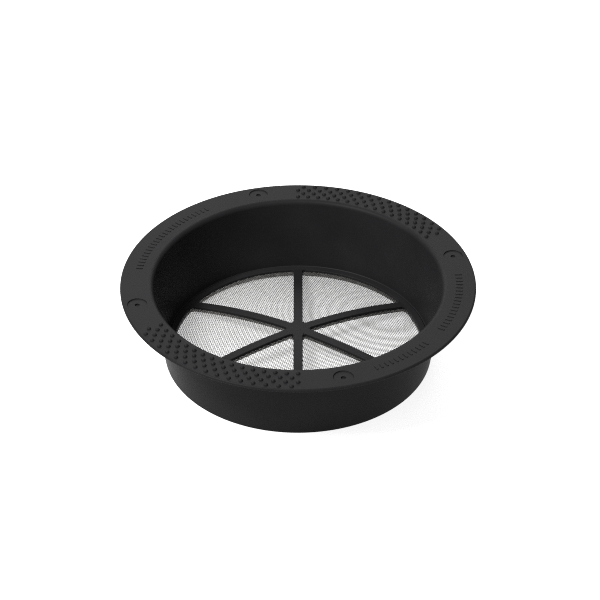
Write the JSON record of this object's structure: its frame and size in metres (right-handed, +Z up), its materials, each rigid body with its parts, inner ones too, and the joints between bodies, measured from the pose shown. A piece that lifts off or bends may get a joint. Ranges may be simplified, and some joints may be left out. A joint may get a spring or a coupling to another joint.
{
  "type": "tank inlet screen",
  "caption": "Round drop-in inlet screen for a water tank: black flanged basket with grip bumps, screw points and a domed mesh screen that lifts out.",
  "frame": {"origin": "centre of the underside of the basket's bottom lip, on the axis of the basket", "axes": "+Z up along the basket's axis, through the hub and out of the mouth; +X and +Y lie in the plane of the base, with the first screw point 15 degrees from +X towards +Y"},
  "size_m": [0.24, 0.24, 0.0594],
  "materials": {
    "black_moulding": "satin moulded UV-stable polypropylene",
    "steel_mesh": "bright drawn stainless wire, plain weave"
  },
  "bodies": {
    "basket": {"basket": "black_moulding"},
    "screen": {"lower_frame": "black_moulding", "mesh_disc": "steel_mesh", "upper_frame": "black_moulding"}
  },
  "joints": [
    {"name": "screen_lift", "type": "slide", "parent": "basket", "child": "screen", "axis": [0, 0, 1], "range_m": [0, 0.075]}
  ]
}
